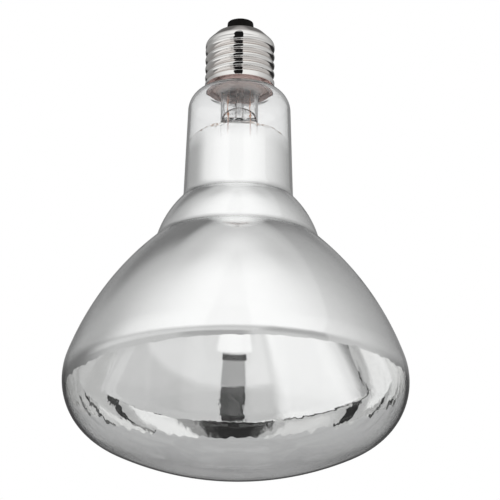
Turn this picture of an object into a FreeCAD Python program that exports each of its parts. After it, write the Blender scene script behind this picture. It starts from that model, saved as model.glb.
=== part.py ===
"""Infrared heat lamp bulb: a blown reflector bulb on an Edison screw cap, in millimetres.

The origin is the tip of the centre contact. +Z runs up the lamp's axis and out of the cap,
so the glass hangs below the origin. -Y is the side that faces the viewer.
"""
import FreeCAD, Part
import math
import os

# Cap, from the contact tip down
CAP_HEIGHT = 27.9
CONTACT_BUMP_HEIGHT = 0.6
CONTACT_BUMP_RADIUS = 2.2
CONTACT_TIP_RADIUS = 0.9
CONTACT_PLUG_DEPTH = 1.0
CONTACT_PLATE_RADIUS = 3.4
CONTACT_PLATE_THICKNESS = 0.5
CONTACT_PLATE_HOLE_RADIUS = 1.0
CONTACT_PLATE_RECESS = 0.3
INSULATOR_HEIGHT = 4.9
INSULATOR_TOP_RADIUS = 4.9
INSULATOR_DEPTH = 5.0
INSULATOR_HOLE_RADIUS = 1.1

# Screw shell, rolled from sheet with a right-hand E27 thread
SHELL_CREST_DIAMETER = 26.2
SHELL_SHEET = 0.3
THREAD_PITCH = 3.629
THREAD_DEPTH = 1.1
THREAD_CREST_OFFSET = 5.8
THREAD_START_HEIGHT = 1.2
THREAD_FADE = 1.8
SHELL_LIP_FLARE = 0.22
SHELL_LIP_HEIGHT = 1.3
SHELL_OPENING_RADIUS = 5.35
SHELL_FLAT_RADIUS = 8.6
SHOULDER_CORNER_RADIUS = 3.0
SHOULDER_TOP_RADIUS = 1.2
SHOULDER_SLOPE_DEG = 44.0

# Cement between the shell's thread roots and the bulb's sealed neck
CEMENT_WALL = 0.3
CEMENT_RECESS = 0.3

# Side contact, a solder blob over a lead hole in the shell's shoulder
SIDE_CONTACT_INSET = 2.7
SIDE_SOLDER_RADIUS = 1.5
SIDE_HOLE_RADIUS = 0.6

# Glass bulb, outside sizes
BULB_DIAMETER = 125.0
NECK_RADIUS = 19.22
NECK_TAPER_DEG = 1.8
NECK_LENGTH = 45.3
SHOULDER_RADIUS = 8.27
SEAL_LENGTH = 6.0
SEAL_FILLET_RADIUS = 1.62
BULGE_LENGTH = 17.4
BULGE_RADIUS = 36.8
BULGE_FOOT_RADIUS = 30.33
NECK_FILLET_RADIUS = 6.0
REFLECTOR_LENGTH = 53.7
REFLECTOR_ARC_RADIUS = 111.1
REFLECTOR_FILLET_RADIUS = 6.5
RIM_ARC_RADIUS = 23.2
FACE_ARC_RADIUS = 110.5
GLASS_WALL = 1.0

# Mirror coating on the inside of the glass
FILM_THICKNESS = 0.12
FILM_TOP_DROP = 25.0
FILM_TOP_TILT_DEG = 10.0
FILM_FACE_DROP = 2.6
FILM_FACE_TILT_DEG = 1.6

# Stem, measured down from the shell's rim
STEM_LENGTH = 22.0
FLARE_TUBE_RADIUS = 7.0
FLARE_WALL = 1.0
FLARE_ARC_RADIUS = 6.5
FLARE_SEAL_HEIGHT = 1.0
PINCH_LENGTH = 4.5
PRESS_LENGTH = 7.5
PRESS_THICKNESS = 5.0
PRESS_FLOOR = 1.5
EXHAUST_RADIUS = 1.7
EXHAUST_WALL = 0.7
EXHAUST_ABOVE_RIM = 11.0

# Lead wires, from the cap through the press to the filament
LEAD_OFFSET = 4.2
LEAD_BURIED = 1.0
COPPER_LEAD_RADIUS = 0.35
SEAL_WIRE_RADIUS = 0.3
INNER_LEAD_RADIUS = 0.45
INNER_LEAD_STRAIGHT = 6.0
INNER_LEAD_DROP = 1.2
LEAD_BEND_RADIUS = 2.5

# Filament and its supports
LIGHT_CENTRE_LENGTH = 93.7
FILAMENT_RING_RADIUS = 12.5
FILAMENT_COIL_RADIUS = 0.75
FILAMENT_GAP_DEG = 70.0
ROD_RADIUS = 1.5
BUTTON_RADIUS = 2.7
BUTTON_LENGTH = 3.4
SUPPORT_COUNT = 4
SUPPORT_WIRE_RADIUS = 0.2
SUPPORT_BURIED = 1.5

# Clearances
SEAL_GAP = 0.02
WIRE_GAP = 0.05
CAP_GAP = 0.06

# Sampling of the rolled thread surface
ROWS_PER_PITCH = 12
THREAD_COLUMNS = 28
SHOULDER_ROWS = 5
SPLINE_DEGREE = 3

# Tolerance
SAME_POINT = 1e-3

# Heights and radii worked out from the sizes above
RIM_Z = -CAP_HEIGHT
INSULATOR_TOP_Z = -CONTACT_BUMP_HEIGHT - CONTACT_PLATE_THICKNESS + CONTACT_PLATE_RECESS
SHELL_TOP_Z = INSULATOR_TOP_Z - INSULATOR_HEIGHT
SEAL_END_Z = RIM_Z + SEAL_LENGTH
NECK_FOOT_Z = RIM_Z - NECK_LENGTH
BULGE_FOOT_Z = NECK_FOOT_Z - BULGE_LENGTH
WIDEST_Z = BULGE_FOOT_Z - REFLECTOR_LENGTH
STEM_BOTTOM_Z = RIM_Z - STEM_LENGTH
PRESS_TOP_Z = STEM_BOTTOM_Z + PRESS_LENGTH
PINCH_TOP_Z = PRESS_TOP_Z + PINCH_LENGTH
PRESS_FLOOR_Z = PRESS_TOP_Z + PRESS_FLOOR
EXHAUST_TIP_Z = RIM_Z + EXHAUST_ABOVE_RIM
FILAMENT_Z = -LIGHT_CENTRE_LENGTH
CREST_RADIUS = SHELL_CREST_DIAMETER / 2
SIDE_CONTACT_RADIUS = CREST_RADIUS - SIDE_CONTACT_INSET
SEAL_RADIUS = CREST_RADIUS - THREAD_DEPTH - SHELL_SHEET - CEMENT_WALL
BULB_RADIUS = BULB_DIAMETER / 2

AXIS = FreeCAD.Vector(0, 0, 1)
ORIGIN = FreeCAD.Vector(0, 0, 0)
FAR = 4 * BULB_DIAMETER


def at(radius, z):
    """A point of the half plane that is turned about the axis."""
    return FreeCAD.Vector(radius, 0, z)


def turned(edges):
    """Solid of revolution from a closed loop of edges in the half plane."""
    return Part.Face(Part.Wire(Part.__sortEdges__(edges))).revolve(ORIGIN, AXIS, 360)


def turned_polygon(corners):
    """Solid of revolution from the (radius, z) corners of a closed outline."""
    points = [at(radius, z) for radius, z in corners]
    return turned(Part.makePolygon(points + points[:1]).Edges)


def rod(radius, bottom_z, top_z, x=0.0, y=0.0):
    """Upright round bar between two heights."""
    return Part.makeCylinder(radius, top_z - bottom_z, FreeCAD.Vector(x, y, bottom_z), AXIS)


def centres_meet(centre_a, reach_a, centre_b, reach_b, side):
    """Point at one distance from each of two centres, on the chosen side of the line between them."""
    dr = centre_b[0] - centre_a[0]
    dz = centre_b[1] - centre_a[1]
    apart = math.hypot(dr, dz)
    along = (reach_a ** 2 - reach_b ** 2 + apart ** 2) / (2 * apart)
    across = side * math.sqrt(reach_a ** 2 - along ** 2)
    return (centre_a[0] + (along * dr - across * dz) / apart,
            centre_a[1] + (along * dz + across * dr) / apart)


def bearing(centre_a, centre_b):
    """Angle of the line from one centre to another, above the horizontal."""
    return math.atan2(centre_b[1] - centre_a[1], centre_b[0] - centre_a[0])


def bulb_arcs():
    """The bulb's outside arcs from seal to face: centre, radius, bulges out or in, and the angles
    of the outward normal where each arc starts and ends."""
    taper = math.radians(NECK_TAPER_DEG)
    normal = (math.cos(taper), math.sin(taper))
    seal = (SEAL_RADIUS + SEAL_FILLET_RADIUS, RIM_Z)
    shoulder_r = NECK_RADIUS - SHOULDER_RADIUS * normal[0]
    reach = SHOULDER_RADIUS + SEAL_FILLET_RADIUS
    shoulder = (shoulder_r, RIM_Z - math.sqrt(reach ** 2 - (seal[0] - shoulder_r) ** 2))
    neck_top = (NECK_RADIUS, shoulder[1] + SHOULDER_RADIUS * normal[1])
    neck_foot = (NECK_RADIUS + (neck_top[1] - NECK_FOOT_Z) * math.tan(taper), NECK_FOOT_Z)
    bulge_foot = (BULGE_FOOT_RADIUS, BULGE_FOOT_Z)
    bulge = centres_meet(neck_foot, BULGE_RADIUS, bulge_foot, BULGE_RADIUS, -1)
    rim = (BULB_RADIUS - RIM_ARC_RADIUS, WIDEST_Z)
    reflector = centres_meet(bulge_foot, REFLECTOR_ARC_RADIUS, rim, REFLECTOR_ARC_RADIUS - RIM_ARC_RADIUS, -1)
    face = (0.0, WIDEST_Z + math.sqrt((FACE_ARC_RADIUS - RIM_ARC_RADIUS) ** 2 - rim[0] ** 2))
    waist = centres_meet(bulge, BULGE_RADIUS + REFLECTOR_FILLET_RADIUS,
                         reflector, REFLECTOR_ARC_RADIUS + REFLECTOR_FILLET_RADIUS, 1)

    # The neck fillet touches the tapered neck and the bulge
    off_r = bulge[0] - neck_top[0]
    off_z = bulge[1] - neck_top[1]
    off_neck = off_r * normal[0] + off_z * normal[1]
    down_neck = off_r * normal[1] - off_z * normal[0]
    drop = down_neck - math.sqrt((BULGE_RADIUS + NECK_FILLET_RADIUS) ** 2 - (NECK_FILLET_RADIUS - off_neck) ** 2)
    neck_fillet = (neck_top[0] + NECK_FILLET_RADIUS * normal[0] + drop * normal[1],
                   neck_top[1] + NECK_FILLET_RADIUS * normal[1] - drop * normal[0])

    at_seal = bearing(shoulder, seal)
    at_bulge_top = bearing(bulge, neck_fillet)
    at_bulge_foot = bearing(bulge, waist)
    at_reflector_top = bearing(reflector, waist)
    at_rim = bearing(reflector, rim)
    at_face = bearing(face, rim)
    return [
        (seal, SEAL_FILLET_RADIUS, -1, 0.0, at_seal),
        (shoulder, SHOULDER_RADIUS, 1, at_seal, taper),
        (neck_fillet, NECK_FILLET_RADIUS, -1, taper, at_bulge_top),
        (bulge, BULGE_RADIUS, 1, at_bulge_top, at_bulge_foot),
        (waist, REFLECTOR_FILLET_RADIUS, -1, at_bulge_foot, at_reflector_top),
        (reflector, REFLECTOR_ARC_RADIUS, 1, at_reflector_top, at_rim),
        (rim, RIM_ARC_RADIUS, 1, at_rim, at_face),
        (face, FACE_ARC_RADIUS, 1, at_face, -math.pi / 2),
    ]


def arc_point(arc, normal_angle, inset):
    """Point of an arc where the outward normal has the given angle, moved inwards by the inset."""
    centre, radius, bulge, _, _ = arc
    reach = bulge * radius - inset
    return at(centre[0] + reach * math.cos(normal_angle), centre[1] + reach * math.sin(normal_angle))


def bulb_outline(inset):
    """Edges of the bulb's outline at an inset from the outside, from the sealed end to the axis."""
    last = at(SEAL_RADIUS - inset, SEAL_END_Z)
    edges = []
    for arc in bulb_arcs():
        start, end = arc[3], arc[4]
        first = arc_point(arc, start, inset)
        if first.distanceToPoint(last) > SAME_POINT:
            edges.append(Part.makeLine(last, first))
        middle = arc_point(arc, (start + end) / 2, inset)
        last = arc_point(arc, end, inset)
        edges.append(Part.Arc(first, middle, last).toShape())
    return edges


def skin(outer_inset, inner_inset):
    """Closed solid between two insets of the bulb's outline, open at the sealed end."""
    outer = bulb_outline(outer_inset)
    inner = bulb_outline(inner_inset)
    ends = [
        Part.makeLine(outer[0].Vertexes[0].Point, inner[0].Vertexes[0].Point),
        Part.makeLine(outer[-1].Vertexes[-1].Point, inner[-1].Vertexes[-1].Point),
    ]
    return turned(outer + inner + ends)


def bulb_envelope():
    """Blown glass bulb in one piece, from the sealed end to the domed face."""
    return skin(0.0, GLASS_WALL)


def tilted_block(z, tilt_axis, tilt_deg, up):
    """Large block above or below a plane through the axis at z, tilted about tilt_axis."""
    base = -FAR / 2
    low = z if up else z - FAR
    block = Part.makeBox(FAR, FAR, FAR, FreeCAD.Vector(base, base, low))
    block.rotate(FreeCAD.Vector(0, 0, z), tilt_axis, tilt_deg)
    return block


def mirror_coating():
    """Aluminium film on the glass, from just past the widest place up into the neck."""
    film = skin(GLASS_WALL, GLASS_WALL + FILM_THICKNESS)
    above = tilted_block(RIM_Z - FILM_TOP_DROP, FreeCAD.Vector(1, 0, 0), -FILM_TOP_TILT_DEG, True)
    below = tilted_block(WIDEST_Z - FILM_FACE_DROP, FreeCAD.Vector(0, 1, 0), -FILM_FACE_TILT_DEG, False)
    return film.cut(above).cut(below)


def shell_shoulder(inset):
    """The shell's plain shoulder from its straight wall to its opening, as edges at an inset."""
    slope = math.radians(SHOULDER_SLOPE_DEG)
    corner, top = shoulder_centres()
    upright = math.pi / 2
    rounds = (
        (corner, SHOULDER_CORNER_RADIUS - inset, (0, slope / 2, slope)),
        (top, SHOULDER_TOP_RADIUS - inset, (slope, (slope + upright) / 2, upright)),
    )
    lower, upper = [
        Part.Arc(*[at(centre[0] + reach * math.cos(angle), centre[1] + reach * math.sin(angle))
                   for angle in angles]).toShape()
        for centre, reach, angles in rounds
    ]
    cone = Part.makeLine(lower.Vertexes[-1].Point, upper.Vertexes[0].Point)
    flat = Part.makeLine(upper.Vertexes[-1].Point, at(SHELL_OPENING_RADIUS, SHELL_TOP_Z - inset))
    return [lower, cone, upper, flat]


def shoulder_centres():
    """Centres of the two rounds of the shell's shoulder."""
    slope = math.radians(SHOULDER_SLOPE_DEG)
    top = (SHELL_FLAT_RADIUS, SHELL_TOP_Z - SHOULDER_TOP_RADIUS)
    corner_r = CREST_RADIUS - SHOULDER_CORNER_RADIUS
    top_r = top[0] + SHOULDER_TOP_RADIUS * math.cos(slope)
    top_z = top[1] + SHOULDER_TOP_RADIUS * math.sin(slope)
    end_r = corner_r + SHOULDER_CORNER_RADIUS * math.cos(slope)
    end_z = top_z - (end_r - top_r) / math.tan(slope)
    return (corner_r, end_z - SHOULDER_CORNER_RADIUS * math.sin(slope)), top


def smooth_step(value):
    """Rise from 0 to 1 with level ends."""
    value = min(max(value, 0.0), 1.0)
    return value * value * (3 - 2 * value)


def groove(height, angle, straight):
    """Depth of the thread's groove: alternating arcs whose crests climb one pitch each turn."""
    quarter = THREAD_PITCH / 4
    arc = (quarter ** 2 + (THREAD_DEPTH / 2) ** 2) / THREAD_DEPTH
    turns = (height - THREAD_CREST_OFFSET) / THREAD_PITCH - angle / (2 * math.pi)
    from_crest = abs(turns - round(turns)) * THREAD_PITCH
    from_arc = from_crest if from_crest < quarter else 2 * quarter - from_crest
    sag = arc - math.sqrt(arc ** 2 - from_arc ** 2)
    depth = sag if from_crest < quarter else THREAD_DEPTH - sag
    fade_in = smooth_step((height - THREAD_START_HEIGHT) / THREAD_FADE)
    fade_out = smooth_step((straight - height) / THREAD_FADE)
    return depth * fade_in * fade_out


def shell_wall_point(height, angle, straight):
    """(radius, z) of the shell's outside on its straight wall."""
    lip = max(0.0, 1 - height / SHELL_LIP_HEIGHT)
    return CREST_RADIUS + SHELL_LIP_FLARE * lip ** 2 - groove(height, angle, straight), RIM_Z + height


def shell_meridian(angle, inset):
    """The shell's section at one angle, from rim to opening, as (radius, z) points at an inset."""
    corner, _ = shoulder_centres()
    straight = corner[1] - RIM_Z
    rows = math.ceil(straight / THREAD_PITCH * ROWS_PER_PITCH)
    points = [shell_wall_point(straight * row / rows, angle, straight) for row in range(rows + 1)]
    for edge in shell_shoulder(0.0):
        samples = edge.discretize(Number=SHOULDER_ROWS + 1)
        last = at(*points[-1])
        if samples[-1].distanceToPoint(last) < samples[0].distanceToPoint(last):
            samples.reverse()
        points += [(sample.x, sample.z) for sample in samples[1:]]
    moved = [(points[0][0] - inset, points[0][1])]
    for before, (radius, z), after in zip(points, points[1:], points[2:]):
        dr = after[0] - before[0]
        dz = after[1] - before[1]
        size = math.hypot(dr, dz)
        moved.append((radius - inset * dz / size, z + inset * dr / size))
    moved.append((points[-1][0], points[-1][1] - inset))
    return moved


def sharpened(rows, wraps):
    """Spline poles for a run of samples, so that the smooth surface passes through the samples."""
    count = len(rows)
    poles = []
    for index, row in enumerate(rows):
        if not wraps and (index < 2 or index > count - 3):
            poles.append(row)
            continue
        before, after = rows[index - 1], rows[(index + 1) % count]
        poles.append([point * (4 / 3) - (low + high) * (1 / 6) for point, low, high in zip(row, before, after)])
    return poles


def round_face(section):
    """Smooth face all the way round the axis, through the section's points at every angle."""
    columns = []
    for column in range(THREAD_COLUMNS):
        angle = 2 * math.pi * column / THREAD_COLUMNS
        columns.append([FreeCAD.Vector(radius * math.cos(angle), radius * math.sin(angle), z)
                        for radius, z in section(angle)])
    rows = sharpened([list(row) for row in zip(*columns)], False)
    poles = sharpened([list(column) for column in zip(*rows)], True)
    spans = len(rows) - SPLINE_DEGREE
    surface = Part.BSplineSurface()
    surface.buildFromPolesMultsKnots(
        poles,
        [1] * (THREAD_COLUMNS + 1),
        [SPLINE_DEGREE + 1] + [1] * (spans - 1) + [SPLINE_DEGREE + 1],
        list(range(THREAD_COLUMNS + 1)),
        list(range(spans + 1)),
        True, False, SPLINE_DEGREE, SPLINE_DEGREE)
    return surface.toShape()


def level_edge(face, z):
    """The face's closed edge at one end of the axis."""
    return min((edge for edge in face.Edges if edge.isClosed()), key=lambda edge: abs(edge.CenterOfMass.z - z))


def sewn(faces):
    """One solid from faces that meet along their edges."""
    compound = Part.makeCompound(faces)
    compound.sewShape(SAME_POINT)
    solid = Part.Solid(compound.Shells[0])
    if solid.Volume < 0:
        solid.reverse()
    return solid


def screw_shell():
    """Sheet shell: outer and inner faces follow the same thread, one sheet apart."""
    outer = round_face(lambda angle: shell_meridian(angle, 0.0))
    inner = round_face(lambda angle: shell_meridian(angle, SHELL_SHEET))
    ends = [Part.makeRuledSurface(level_edge(outer, z), level_edge(inner, z)) for z in (RIM_Z, SHELL_TOP_Z)]
    shell = sewn([outer, inner] + ends)
    return shell.cut(rod(SIDE_HOLE_RADIUS, SHELL_TOP_Z - INSULATOR_DEPTH, 0.0, 0.0, SIDE_CONTACT_RADIUS))


def radius_at(section, z):
    """Radius of a section at a height, between the two points beside it."""
    for (low_r, low_z), (high_r, high_z) in zip(section, section[1:]):
        if low_z <= z <= high_z:
            return low_r + (high_r - low_r) * (z - low_z) / (high_z - low_z)
    return section[0][0]


def cap_cement():
    """Ring of cement between the shell's thread and the bulb's sealed neck."""
    bottom_z = RIM_Z + CEMENT_RECESS
    rows = math.ceil((SEAL_END_Z - bottom_z) / THREAD_PITCH * ROWS_PER_PITCH)
    heights = [bottom_z + (SEAL_END_Z - bottom_z) * row / rows for row in range(rows + 1)]

    def section(angle):
        inside = shell_meridian(angle, SHELL_SHEET + CAP_GAP)
        return [(radius_at(inside, z), z) for z in heights]

    side = round_face(section)
    ends = [Part.Face(Part.Wire([level_edge(side, z)])) for z in (bottom_z, SEAL_END_Z)]
    return sewn([side] + ends).cut(rod(SEAL_RADIUS + SEAL_GAP, RIM_Z, SHELL_TOP_Z))


def insulator():
    """Black glass that grips the shell's opening and stands out of it as a blunt cone."""
    neck = SHELL_OPENING_RADIUS - SEAL_GAP
    roof_z = SHELL_TOP_Z - SHELL_SHEET - CAP_GAP
    bottom_z = SHELL_TOP_Z - INSULATOR_DEPTH
    recess_r = CONTACT_PLATE_RADIUS + SEAL_GAP
    recess_z = INSULATOR_TOP_Z - CONTACT_PLATE_RECESS
    return turned_polygon([
        (INSULATOR_HOLE_RADIUS, recess_z),
        (recess_r, recess_z),
        (recess_r, INSULATOR_TOP_Z),
        (INSULATOR_TOP_RADIUS, INSULATOR_TOP_Z),
        (neck, SHELL_TOP_Z),
        (neck, roof_z),
        (SHELL_FLAT_RADIUS, roof_z),
        (neck, bottom_z),
        (INSULATOR_HOLE_RADIUS, bottom_z),
    ])


def contact_plate():
    """Brass disc let into the insulator's top."""
    bottom_z = INSULATOR_TOP_Z - CONTACT_PLATE_RECESS
    top_z = bottom_z + CONTACT_PLATE_THICKNESS
    disc = rod(CONTACT_PLATE_RADIUS, bottom_z, top_z)
    return disc.cut(rod(CONTACT_PLATE_HOLE_RADIUS, bottom_z, top_z))


def contact_lead_top():
    """Height of the contact lead's end, halfway up the solder bump."""
    return -CONTACT_BUMP_HEIGHT / 2


def centre_solder():
    """Solder bump on the plate, with a flat tip and a plug round the end of the contact lead."""
    plate_z = -CONTACT_BUMP_HEIGHT
    base = at(CONTACT_BUMP_RADIUS, plate_z)
    tip = at(CONTACT_TIP_RADIUS, 0)
    slant = math.atan2(CONTACT_BUMP_HEIGHT, CONTACT_BUMP_RADIUS - CONTACT_TIP_RADIUS)
    reach = CONTACT_BUMP_HEIGHT / (1 - math.cos(2 * slant))
    crown = at(CONTACT_TIP_RADIUS + reach * math.sin(slant), reach * (math.cos(slant) - 1))
    bump = turned([
        Part.makeLine(at(0, plate_z), base),
        Part.Arc(base, crown, tip).toShape(),
        Part.makeLine(tip, ORIGIN),
        Part.makeLine(ORIGIN, at(0, plate_z)),
    ])
    plug = rod(CONTACT_PLATE_HOLE_RADIUS - SEAL_GAP, plate_z - CONTACT_PLUG_DEPTH, plate_z)
    bore = rod(COPPER_LEAD_RADIUS + SEAL_GAP, plate_z - CONTACT_PLUG_DEPTH, contact_lead_top() + SEAL_GAP)
    return bump.fuse(plug).cut(bore)


def side_contact_z():
    """Height of the shell's shoulder where the side lead comes through."""
    slope = math.radians(SHOULDER_SLOPE_DEG)
    _, top = shoulder_centres()
    start_r = top[0] + SHOULDER_TOP_RADIUS * math.cos(slope)
    start_z = top[1] + SHOULDER_TOP_RADIUS * math.sin(slope)
    return start_z - (SIDE_CONTACT_RADIUS - start_r) / math.tan(slope)


def side_solder():
    """Solder blob on the outside of the shoulder, round the end of the side lead."""
    centre = FreeCAD.Vector(0, SIDE_CONTACT_RADIUS, side_contact_z())
    outside = shell_shoulder(-CAP_GAP)
    low = outside[0].Vertexes[0].Point
    high = outside[-1].Vertexes[-1].Point
    core = turned(outside + [
        Part.makeLine(high, at(0, high.z)),
        Part.makeLine(at(0, high.z), at(0, low.z)),
        Part.makeLine(at(0, low.z), low),
    ])
    bore = rod(COPPER_LEAD_RADIUS + SEAL_GAP, centre.z - SIDE_SOLDER_RADIUS,
               centre.z + SIDE_SOLDER_RADIUS / 2 + SEAL_GAP, 0.0, SIDE_CONTACT_RADIUS)
    return Part.makeSphere(SIDE_SOLDER_RADIUS, centre).cut(core).cut(bore)


def bent_wire(points, radius):
    """Round wire along straight runs joined by arcs at the points between them."""
    edges = []
    start = points[0]
    for corner, after in zip(points[1:], points[2:]):
        come = (corner - start).normalize()
        go = (after - corner).normalize()
        turn = come.getAngle(go)
        trim = LEAD_BEND_RADIUS * math.tan(turn / 2)
        arc_start = corner - come * trim
        arc_end = corner + go * trim
        inward = (go - come).normalize()
        middle = corner + inward * LEAD_BEND_RADIUS * (1 / math.cos(turn / 2) - 1)
        edges.append(Part.makeLine(start, arc_start))
        edges.append(Part.Arc(arc_start, middle, arc_end).toShape())
        start = arc_end
    edges.append(Part.makeLine(start, points[-1]))
    profile = Part.Wire(Part.makeCircle(radius, points[0], points[1] - points[0]))
    return Part.Wire(edges).makePipeShell([profile], True, False)


def contact_lead():
    """Copper wire from the press up past the exhaust tube to the centre contact."""
    insulator_z = SHELL_TOP_Z - INSULATOR_DEPTH
    return bent_wire([
        FreeCAD.Vector(-LEAD_OFFSET, 0, PRESS_FLOOR_Z - LEAD_BURIED),
        FreeCAD.Vector(-LEAD_OFFSET, 0, EXHAUST_TIP_Z),
        FreeCAD.Vector(0, 0, insulator_z - LEAD_BURIED),
        FreeCAD.Vector(0, 0, contact_lead_top()),
    ], COPPER_LEAD_RADIUS)


def side_lead():
    """Copper wire from the press up to the solder blob on the shell's shoulder."""
    insulator_z = SHELL_TOP_Z - INSULATOR_DEPTH
    return bent_wire([
        FreeCAD.Vector(LEAD_OFFSET, 0, PRESS_FLOOR_Z - LEAD_BURIED),
        FreeCAD.Vector(LEAD_OFFSET, 0, SEAL_END_Z + LEAD_BURIED),
        FreeCAD.Vector(0, SIDE_CONTACT_RADIUS, insulator_z - LEAD_BEND_RADIUS),
        FreeCAD.Vector(0, SIDE_CONTACT_RADIUS, side_contact_z() + SIDE_SOLDER_RADIUS / 2),
    ], COPPER_LEAD_RADIUS)


def pinched(radius, low_z, high_z, half_thickness):
    """Round bar squeezed flat towards its lower end, front to back."""
    wide = radius + FLARE_WALL / 2
    reach = (high_z - low_z) / 2
    sides = []
    for side in (-1, 1):
        curve = Part.BezierCurve()
        curve.setPoles([
            FreeCAD.Vector(-FAR / 2, side * wide, high_z),
            FreeCAD.Vector(-FAR / 2, side * wide, high_z - reach),
            FreeCAD.Vector(-FAR / 2, side * half_thickness, low_z + reach),
            FreeCAD.Vector(-FAR / 2, side * half_thickness, low_z),
        ])
        sides.append(curve.toShape())
    top = Part.makeLine(sides[0].Vertexes[0].Point, sides[1].Vertexes[0].Point)
    bottom = Part.makeLine(sides[0].Vertexes[-1].Point, sides[1].Vertexes[-1].Point)
    face = Part.Face(Part.Wire(Part.__sortEdges__(sides + [top, bottom])))
    return face.extrude(FreeCAD.Vector(FAR, 0, 0)).common(rod(radius, low_z, high_z))


def stem_flare():
    """Flared glass tube, sealed to the bulb at its wide end and pressed flat round the leads at its foot."""
    seal_r = SEAL_RADIUS - GLASS_WALL - SEAL_GAP
    bore_r = FLARE_TUBE_RADIUS - FLARE_WALL
    opening = math.acos(1 - (seal_r - FLARE_TUBE_RADIUS) / FLARE_ARC_RADIUS)
    flare_z = RIM_Z - FLARE_ARC_RADIUS * math.sin(opening)
    centre_r = FLARE_TUBE_RADIUS + FLARE_ARC_RADIUS

    def flare_arc(reach):
        return Part.Arc(*[at(centre_r - reach * math.cos(turn), flare_z + reach * math.sin(turn))
                          for turn in (0, opening / 2, opening)]).toShape()

    outside = flare_arc(FLARE_ARC_RADIUS)
    inside = flare_arc(FLARE_ARC_RADIUS + FLARE_WALL)
    seal_low = at(seal_r, RIM_Z)
    seal_high = at(seal_r, RIM_Z + FLARE_SEAL_HEIGHT)
    tube = turned([
        Part.makeLine(at(FLARE_TUBE_RADIUS, PINCH_TOP_Z), at(FLARE_TUBE_RADIUS, flare_z)),
        outside,
        Part.makeLine(seal_low, seal_high),
        Part.makeLine(seal_high, inside.Vertexes[-1].Point),
        inside,
        Part.makeLine(at(bore_r, flare_z), at(bore_r, PINCH_TOP_Z)),
        Part.makeLine(at(bore_r, PINCH_TOP_Z), at(FLARE_TUBE_RADIUS, PINCH_TOP_Z)),
    ])
    squeezed = pinched(FLARE_TUBE_RADIUS, PRESS_TOP_Z, PINCH_TOP_Z, PRESS_THICKNESS / 2)
    flat = Part.makeBox(FAR, PRESS_THICKNESS, PRESS_LENGTH,
                        FreeCAD.Vector(-FAR / 2, -PRESS_THICKNESS / 2, STEM_BOTTOM_Z))
    press = flat.common(rod(FLARE_TUBE_RADIUS, STEM_BOTTOM_Z, PRESS_TOP_Z))
    hollow = pinched(bore_r, PRESS_FLOOR_Z, PINCH_TOP_Z, EXHAUST_RADIUS + EXHAUST_WALL / 2)
    stem = tube.fuse([squeezed.cut(hollow), press])
    for x in (-LEAD_OFFSET, LEAD_OFFSET):
        inner_top = STEM_BOTTOM_Z + LEAD_BURIED
        copper_end = PRESS_FLOOR_Z - LEAD_BURIED
        stem = stem.cut([
            rod(INNER_LEAD_RADIUS + SEAL_GAP, STEM_BOTTOM_Z, inner_top, x),
            rod(SEAL_WIRE_RADIUS + SEAL_GAP, inner_top, copper_end, x),
            rod(COPPER_LEAD_RADIUS + SEAL_GAP, copper_end, PRESS_FLOOR_Z, x),
        ])
    return stem.removeSplitter()


def exhaust_tube():
    """Thin tube that stands on the press and is melted shut inside the cap."""
    def capsule(radius, tip_z):
        ball_z = tip_z - radius
        return rod(radius, PRESS_FLOOR_Z, ball_z).fuse(Part.makeSphere(radius, FreeCAD.Vector(0, 0, ball_z)))

    return capsule(EXHAUST_RADIUS, EXHAUST_TIP_Z).cut(capsule(EXHAUST_RADIUS - EXHAUST_WALL,
                                                              EXHAUST_TIP_Z - EXHAUST_WALL))


def seal_wire(side):
    """Dumet wire sealed in the press between the copper lead and the inner lead."""
    return rod(SEAL_WIRE_RADIUS, STEM_BOTTOM_Z + LEAD_BURIED, PRESS_FLOOR_Z - LEAD_BURIED, side * LEAD_OFFSET)


def filament_end(side):
    """Angle of one end of the filament's ring, measured from +X."""
    return math.radians(-90 + side * FILAMENT_GAP_DEG / 2)


def inner_lead(side):
    """Nickel wire from the press down to one end of the filament."""
    angle = filament_end(side)
    beyond = side * (INNER_LEAD_RADIUS + WIRE_GAP)
    x = FILAMENT_RING_RADIUS * math.cos(angle) + beyond * math.sin(angle)
    y = FILAMENT_RING_RADIUS * math.sin(angle) - beyond * math.cos(angle)
    return bent_wire([
        FreeCAD.Vector(side * LEAD_OFFSET, 0, STEM_BOTTOM_Z + LEAD_BURIED),
        FreeCAD.Vector(side * LEAD_OFFSET, 0, STEM_BOTTOM_Z - INNER_LEAD_STRAIGHT),
        FreeCAD.Vector(x, y, FILAMENT_Z + INNER_LEAD_STRAIGHT),
        FreeCAD.Vector(x, y, FILAMENT_Z - INNER_LEAD_DROP),
    ], INNER_LEAD_RADIUS)


def support_rod():
    """Glass rod below the press, melted at its end into the button that holds the supports."""
    high_z = FILAMENT_Z + BUTTON_LENGTH / 2
    low_z = FILAMENT_Z - BUTTON_LENGTH / 2
    stick = turned([
        Part.makeLine(at(0, STEM_BOTTOM_Z), at(ROD_RADIUS, STEM_BOTTOM_Z)),
        Part.makeLine(at(ROD_RADIUS, STEM_BOTTOM_Z), at(ROD_RADIUS, high_z)),
        Part.Arc(at(ROD_RADIUS, high_z), at(BUTTON_RADIUS, FILAMENT_Z), at(ROD_RADIUS, low_z)).toShape(),
        Part.makeLine(at(ROD_RADIUS, low_z), at(0, low_z)),
        Part.makeLine(at(0, low_z), at(0, STEM_BOTTOM_Z)),
    ])
    return stick.cut([spoke(index, SUPPORT_WIRE_RADIUS + SEAL_GAP) for index in range(SUPPORT_COUNT)])


def support_angle(index):
    """Angle of one support, spaced evenly along the filament's ring."""
    step = (360 - FILAMENT_GAP_DEG) / SUPPORT_COUNT
    return math.degrees(filament_end(1)) + (index + 0.5) * step


def support_loop_radius():
    """Radius of a support's loop round the filament, to the middle of the wire."""
    return FILAMENT_COIL_RADIUS + WIRE_GAP + SUPPORT_WIRE_RADIUS


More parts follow.
